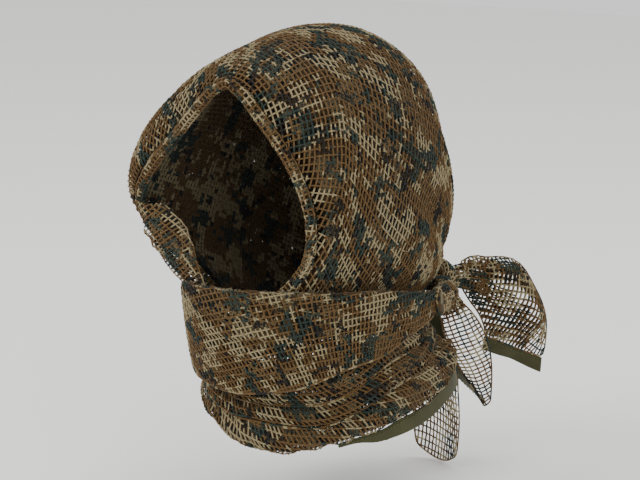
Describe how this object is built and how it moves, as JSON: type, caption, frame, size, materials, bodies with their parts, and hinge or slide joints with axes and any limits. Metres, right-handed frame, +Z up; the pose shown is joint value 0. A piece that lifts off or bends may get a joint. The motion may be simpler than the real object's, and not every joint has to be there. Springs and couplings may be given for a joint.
{
  "type": "camo face mask",
  "caption": "Camouflage net scarf worn as a hood and face mask, with a face band, gathered neck folds and a knot with loose tails behind the neck.",
  "frame": {"origin": "middle of the head that wears the scarf, at eye level", "axes": "+X to the wearer's left, -Y the way the face looks, +Z up"},
  "size_m": [0.1881, 0.2807, 0.3214],
  "materials": {
    "net": "matte camouflage-printed polyester mesh",
    "net_inside": "matte camouflage-printed polyester mesh, inner layer",
    "hem_tape": "olive woven binding tape"
  },
  "bodies": {
    "wrap": {"hood_outer": "net", "hood_lining": "net_inside", "hood_edge_roll": "net", "cheek_drape": "net", "chin_fold": "net", "neck_fold": "net", "collar_fold": "net", "neck_hem_tape": "hem_tape", "knot_core": "net", "knot_loop": "net"},
    "face_mask": {"face_band": "net", "band_bundle_left": "net", "band_bundle_right": "net"},
    "upper_tail": {"upper_tail": "net", "upper_tail_hem": "hem_tape"},
    "lower_tail": {"lower_tail": "net", "lower_tail_hem": "hem_tape"},
    "rear_flap": {"rear_flap": "net"}
  },
  "joints": [
    {"name": "face_band_pull_down", "type": "hinge", "parent": "wrap", "child": "face_mask", "pos_m": [0.027, 0.094, -0.068], "axis": [1, 0, 0], "range_deg": [0, 10]},
    {"name": "upper_tail_swing", "type": "hinge", "parent": "wrap", "child": "upper_tail", "pos_m": [0.04, 0.113, -0.066], "axis": [0.8, -0.6, 0], "range_deg": [0, 45]},
    {"name": "lower_tail_swing", "type": "hinge", "parent": "wrap", "child": "lower_tail", "pos_m": [0.036, 0.108, -0.08], "axis": [0.6, 0.8, 0], "range_deg": [-16, 3]},
    {"name": "rear_flap_swing", "type": "hinge", "parent": "wrap", "child": "rear_flap", "pos_m": [0.028, 0.099, -0.112], "axis": [1, 0, 0], "range_deg": [0, 12]}
  ]
}
